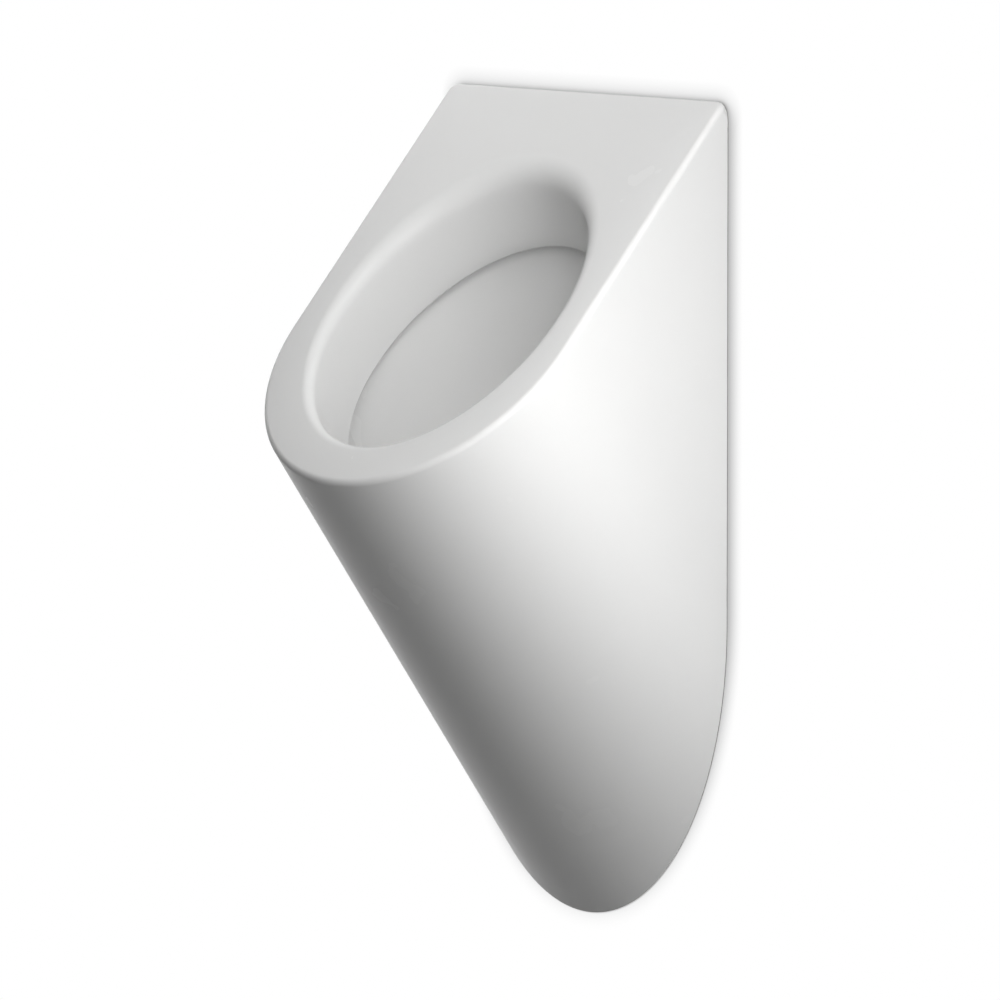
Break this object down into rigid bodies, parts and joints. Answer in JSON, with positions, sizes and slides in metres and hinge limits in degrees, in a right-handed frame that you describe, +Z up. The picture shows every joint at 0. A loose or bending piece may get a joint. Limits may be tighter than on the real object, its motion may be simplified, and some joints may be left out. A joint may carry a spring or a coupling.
{
  "type": "wall hung urinal",
  "caption": "White glazed urinal with a round-bottomed body, a slanted oval mouth, a hidden rear inlet and a hidden bottle trap, hung on a wall.",
  "frame": {"origin": "on the wall plane, at the middle of the wall screws that hold the brackets", "axes": "+Y into the wall, -Y out towards the user, +Z up, +X to the right as seen by someone who faces the wall"},
  "size_m": [0.31, 0.3431, 0.6777],
  "materials": {
    "glaze": "gloss white glaze",
    "zinc_steel": "bright zinc plate",
    "chrome": "polished chrome plate",
    "brass": "turned brass",
    "black_rubber": "matt rubber",
    "white_plastic": "moulded white plastic",
    "pipe_plastic": "extruded light grey plastic",
    "grey_plastic": "moulded grey plastic"
  },
  "bodies": {
    "fixed_body": {"ceramic_body": "glaze", "hanger_bracket_left": "zinc_steel", "hanger_bracket_right": "zinc_steel", "hanger_saddles": "grey_plastic", "wall_screws": "zinc_steel", "screw_washers": "zinc_steel", "spreader": "white_plastic", "spreader_gasket": "black_rubber", "spreader_nut": "brass", "inlet_oring": "black_rubber", "inlet_seal": "black_rubber", "inlet_nipple": "brass", "waste_body": "chrome", "waste_top_gasket": "black_rubber", "waste_under_gasket": "black_rubber", "waste_slip_washer": "white_plastic", "waste_backnut": "brass", "trap_union_nut": "white_plastic", "trap_union_washer": "black_rubber", "trap_head": "white_plastic", "trap_cup": "white_plastic", "trap_cup_seal": "black_rubber", "outlet_nut": "white_plastic", "outlet_seal": "black_rubber", "outlet_pipe": "pipe_plastic"},
    "dip_tube_body": {"dip_tube": "grey_plastic", "dip_tube_orings": "black_rubber"},
    "strainer_body": {"strainer": "chrome"}
  },
  "joints": [
    {"name": "dip_tube_lift", "type": "slide", "parent": "fixed_body", "child": "dip_tube_body", "axis": [0, 0, 1], "range_m": [0, 0.15]},
    {"name": "strainer_lift", "type": "slide", "parent": "dip_tube_body", "child": "strainer_body", "axis": [0, 0, 1], "range_m": [0, 0.06]}
  ]
}
